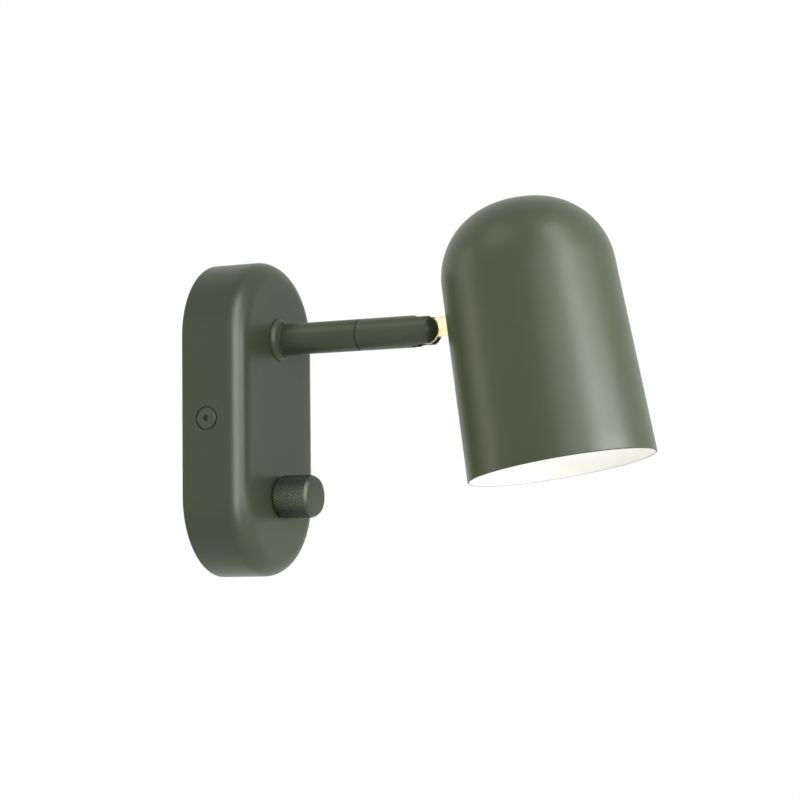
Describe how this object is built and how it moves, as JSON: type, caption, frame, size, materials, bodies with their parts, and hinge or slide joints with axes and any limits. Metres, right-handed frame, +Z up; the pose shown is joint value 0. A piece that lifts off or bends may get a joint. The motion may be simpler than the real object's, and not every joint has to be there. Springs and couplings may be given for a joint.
{
  "type": "wall lamp",
  "caption": "Adjustable wall lamp: stadium-shaped wall housing with knurled dimmer knob, swivelling arm and domed shade on a tilting brass knuckle.",
  "frame": {"origin": "centre of the wall bracket's back face, on the wall", "axes": "+Y into the wall, -Y out into the room along the arm, +Z up, +X to the right as seen by someone who faces the wall"},
  "size_m": [0.092, 0.233, 0.1819],
  "materials": {
    "olive_coat": "satin powder coat; the shade's inside is coated white",
    "steel": "zinc plated",
    "brass": "pale satin brass",
    "white_plastic": "moulded",
    "black_plastic": "moulded",
    "fibre": "pressed fibre",
    "rubber": "matte",
    "white_sheath": "silicone sheath",
    "earth_sheath": "silicone sheath",
    "black_sheath": "silicone sheath",
    "opal_glass": "opal, frosted"
  },
  "bodies": {
    "wall_base": {"housing": "olive_coat", "side_screws": "olive_coat", "wall_bracket": "steel", "cable_grommet": "rubber", "terminal_block": "white_plastic", "clamp_screws": "brass", "earth_screw": "brass", "dimmer_case": "black_plastic", "dimmer_washer": "steel", "dimmer_nut": "steel", "arm_ferrule": "olive_coat", "arm_tube": "olive_coat", "arm_plug": "steel", "arm_stud": "steel", "arm_washer": "steel", "arm_nut": "steel", "swivel_spindle": "steel", "friction_washer": "fibre", "retaining_ring": "steel", "supply_leads": "white_sheath", "earth_lead": "earth_sheath", "base_flex": "black_sheath"},
    "arm_front": {"arm_sleeve": "olive_coat", "swivel_bush": "brass", "pivot_screw": "steel", "friction_discs": "fibre", "sleeve_flex": "black_sheath"},
    "head": {"knuckle_tongue": "brass", "shade": "olive_coat", "saddle_washer": "steel", "holder_bracket": "steel", "head_nuts": "steel", "holder_nipple": "steel", "lampholder": "white_plastic", "holder_shell": "brass", "centre_contact": "brass", "bulb_cap": "steel", "bulb_collar": "white_plastic", "bulb_globe": "opal_glass", "head_flex": "black_sheath"},
    "dimmer_knob": {"knob": "olive_coat", "knob_insert": "brass", "dimmer_shaft": "steel"}
  },
  "joints": [
    {"name": "arm_swivel", "type": "hinge", "parent": "wall_base", "child": "arm_front", "pos_m": [0, -0.0805, 0.04], "axis": [0, 1, 0], "range_deg": [-165, 165]},
    {"name": "head_tilt", "type": "hinge", "parent": "arm_front", "child": "head", "pos_m": [0, -0.1166, 0.04], "axis": [1, 0, 0], "range_deg": [-74, 82]},
    {"name": "knob_turn", "type": "hinge", "parent": "wall_base", "child": "dimmer_knob", "pos_m": [0, -0.0345, -0.04], "axis": [0, 1, 0], "range_deg": [-150, 150]}
  ]
}
